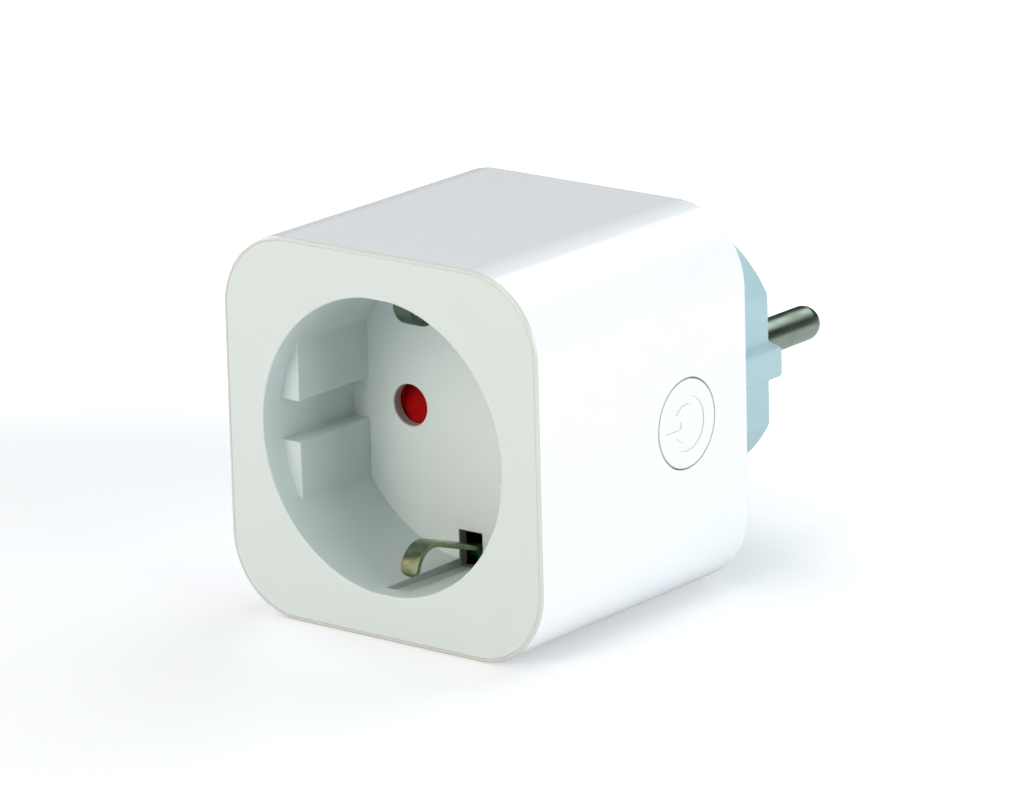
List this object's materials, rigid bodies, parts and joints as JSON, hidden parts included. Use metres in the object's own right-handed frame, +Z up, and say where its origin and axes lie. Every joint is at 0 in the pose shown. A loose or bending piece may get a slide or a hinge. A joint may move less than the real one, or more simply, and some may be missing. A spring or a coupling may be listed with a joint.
{
  "type": "smart plug",
  "caption": "Smart plug with a square white body: earthed socket well in front, round two-pin plug behind, flush power button on one side.",
  "frame": {"origin": "middle of the bounding box in X and Y, on the flat base at Z = 0", "axes": "+Y from the socket well to the plug pins, +X towards the power button, +Z up"},
  "size_m": [0.051, 0.08, 0.051],
  "materials": {
    "front_plastic": "fine-grained warm white moulding",
    "sleeve_plastic": "smooth glossy white moulding",
    "plug_plastic": "satin off-white moulding",
    "button_plastic": "satin creamy white cap with a faint power symbol",
    "red_plastic": "bright red moulding",
    "inner_plastic": "unpolished natural moulding",
    "black_plastic": "satin black moulding",
    "nickel": "bright nickel plate",
    "brass": "stamped brass",
    "clip_bronze": "dull nickel-washed spring bronze",
    "steel": "zinc-plated steel",
    "tin_plate": "tinned sheet",
    "gold_track": "gold-plated track",
    "copper_wire": "enamelled copper",
    "coil_tape": "yellow tape over ferrite",
    "board_green": "green solder mask on glass epoxy",
    "board_blue": "blue solder mask on glass epoxy",
    "chip_epoxy": "black epoxy",
    "relay_blue": "blue relay cover",
    "can_sleeve": "dark shrink sleeve",
    "capacitor_yellow": "yellow box",
    "varistor_blue": "blue dipped epoxy",
    "fuse_green": "green lacquer",
    "wire_red": "soft insulation",
    "led_lens": "clear lens"
  },
  "bodies": {
    "housing": {"front_cover": "front_plastic", "outer_sleeve": "sleeve_plastic", "plug_base": "plug_plastic", "case_screws": "steel", "tact_switch": "tin_plate", "status_led": "led_lens", "shutter_guide": "inner_plastic", "shutter_spring": "steel", "contact_carrier": "inner_plastic", "carrier_screws": "steel", "socket_contact_left": "brass", "socket_contact_right": "brass", "earth_strap": "clip_bronze", "plug_pin_left": "nickel", "plug_pin_right": "nickel", "pin_retainer": "inner_plastic", "earth_pin_socket": "clip_bronze", "plug_earth_strip_top": "clip_bronze", "plug_earth_strip_bottom": "clip_bronze", "busbar_neutral": "brass", "busbar_live_in": "brass", "busbar_live_out": "brass", "control_board": "board_green", "wifi_board": "board_blue", "wifi_shield": "tin_plate", "antenna": "gold_track", "control_header": "black_plastic", "power_board": "board_green", "relay_base": "black_plastic", "relay_case": "relay_blue", "relay_bobbin": "inner_plastic", "relay_coil": "copper_wire", "relay_core": "steel", "relay_yoke": "steel", "relay_fixed_contact": "brass", "relay_header": "black_plastic", "metering_chip": "chip_epoxy", "shunt_resistor": "copper_wire", "supply_board": "board_green", "transformer": "coil_tape", "bulk_capacitor": "can_sleeve", "rectifier": "chip_epoxy", "supply_chip": "chip_epoxy", "filter_board": "board_green", "safety_capacitor": "capacitor_yellow", "varistor": "varistor_blue", "fuse": "fuse_green", "choke": "copper_wire", "link_wires": "wire_red"},
    "button": {"power_button": "button_plastic", "switch_plunger": "black_plastic"},
    "shutter": {"shutter": "red_plastic"},
    "clip_top": {"earth_clip_top": "clip_bronze"},
    "clip_bottom": {"earth_clip_bottom": "clip_bronze"},
    "armature": {"relay_armature": "steel", "relay_moving_contact": "brass"}
  },
  "joints": [
    {"name": "button_press", "type": "slide", "parent": "housing", "child": "button", "axis": [-1, 0, 0], "range_m": [0, 0.0004], "stiffness_N_per_m": 1500},
    {"name": "shutter_slide", "type": "slide", "parent": "housing", "child": "shutter", "axis": [0, 0, -1], "range_m": [0, 0.0064], "stiffness_N_per_m": 60, "springref_m": -0.003, "deforming": ["shutter_spring"]},
    {"name": "clip_top_flex", "type": "hinge", "parent": "housing", "child": "clip_top", "pos_m": [0, -0.0197, 0.04385], "axis": [-1, 0, 0], "range_deg": [0, 6], "stiffness_Nm_per_rad": 0.5},
    {"name": "clip_bottom_flex", "type": "hinge", "parent": "housing", "child": "clip_bottom", "pos_m": [0, -0.0197, 0.00715], "axis": [1, 0, 0], "range_deg": [0, 6], "stiffness_Nm_per_rad": 0.5},
    {"name": "armature_pull", "type": "hinge", "parent": "housing", "child": "armature", "pos_m": [-0.0199, -0.0072, 0.0293], "axis": [1, 0, 0], "range_deg": [0, 3.5], "stiffness_Nm_per_rad": 0.02, "springref_deg": -5.73}
  ]
}
